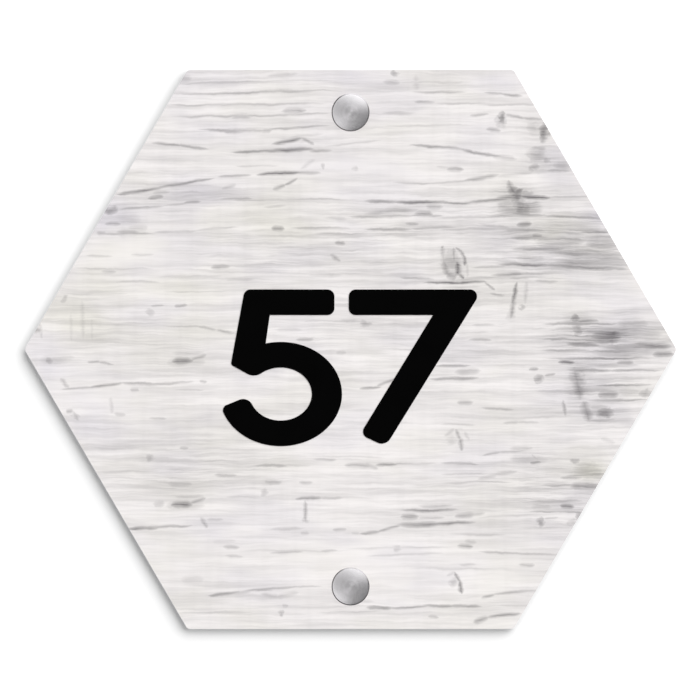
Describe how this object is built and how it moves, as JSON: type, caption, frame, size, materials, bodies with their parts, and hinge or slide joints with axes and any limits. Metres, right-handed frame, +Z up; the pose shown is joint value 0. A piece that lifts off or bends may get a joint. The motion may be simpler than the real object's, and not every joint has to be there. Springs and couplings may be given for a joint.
{
  "type": "hexagonal door number plate",
  "caption": "Hexagonal house-number plate with a whitewashed wood-grain print and black numerals, held to a door or wall by two screws under round brushed cover caps.",
  "frame": {"origin": "centre of the board's back face, on the surface that the plate is fixed to", "axes": "+Z up, +X to the right when looking at the number, +Y into the door; the number faces -Y"},
  "size_m": [0.206, 0.0259, 0.177],
  "materials": {
    "board": "matt printed laminate with a whitewashed wood grain",
    "numeral_film": "satin black film",
    "grain_print": "matt grey print",
    "cap_metal": "turned and brushed",
    "base_plastic": "moulded nylon",
    "screw_steel": "zinc plated"
  },
  "bodies": {
    "root": {"board": "board", "digit_5": "numeral_film", "digit_7": "numeral_film", "grain_print": "grain_print", "cap_upper": "cap_metal", "cap_lower": "cap_metal", "cap_base_upper": "base_plastic", "cap_base_lower": "base_plastic", "fixing_screws": "screw_steel"}
  },
  "joints": []
}
